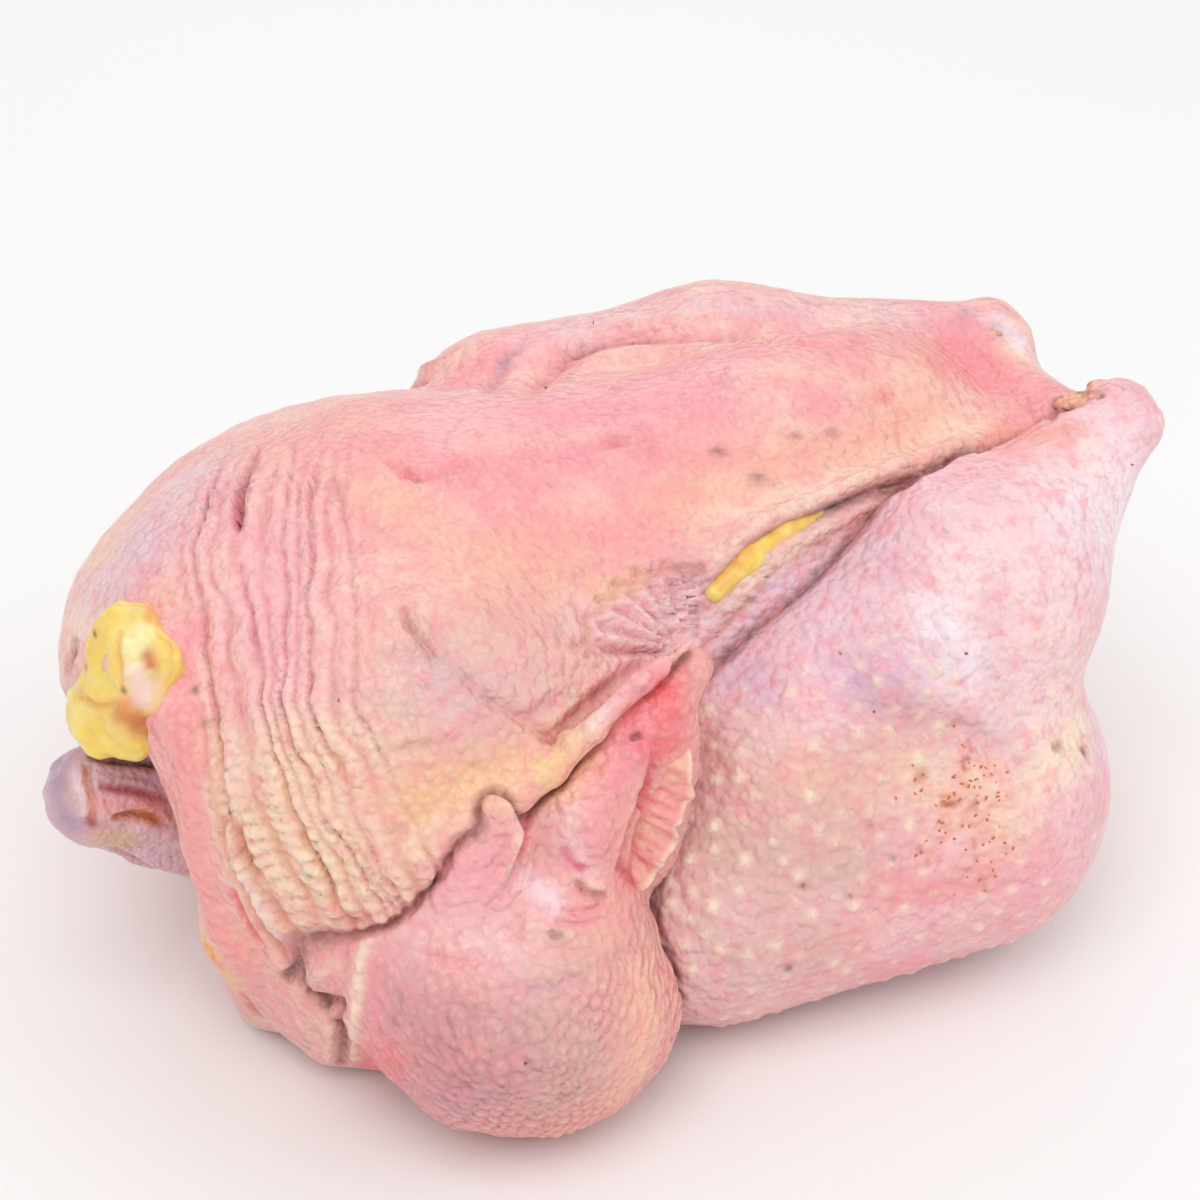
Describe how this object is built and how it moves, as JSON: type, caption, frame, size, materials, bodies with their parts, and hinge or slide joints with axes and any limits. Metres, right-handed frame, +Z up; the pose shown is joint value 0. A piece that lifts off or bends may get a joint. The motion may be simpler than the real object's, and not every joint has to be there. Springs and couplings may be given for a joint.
{
  "type": "whole raw chicken",
  "caption": "Whole raw dressed chicken lying on its back, plump breast up, wings folded against the sides and drumsticks tucked towards the tail, with its neck stump and yellow fat.",
  "frame": {"origin": "the point of the resting surface below the middle of the bird's bounding box", "axes": "+X from the neck end to the tail end, +Y to the bird's left side as it lies on its back, +Z up from the resting surface"},
  "size_m": [0.2597, 0.2068, 0.1223],
  "materials": {
    "skin": "moist, pale pink skin with wrinkles and small follicle bumps",
    "neck_flesh": "wet, grey-purple skinned muscle with lengthwise strands",
    "crop_fat": "soft, pale yellow fat with brown flecks",
    "seam_fat": "soft, deeper yellow fat"
  },
  "bodies": {
    "root": {"carcass": "skin", "neck": "neck_flesh", "crop_fat": "crop_fat", "seam_fat": "seam_fat"}
  },
  "joints": []
}
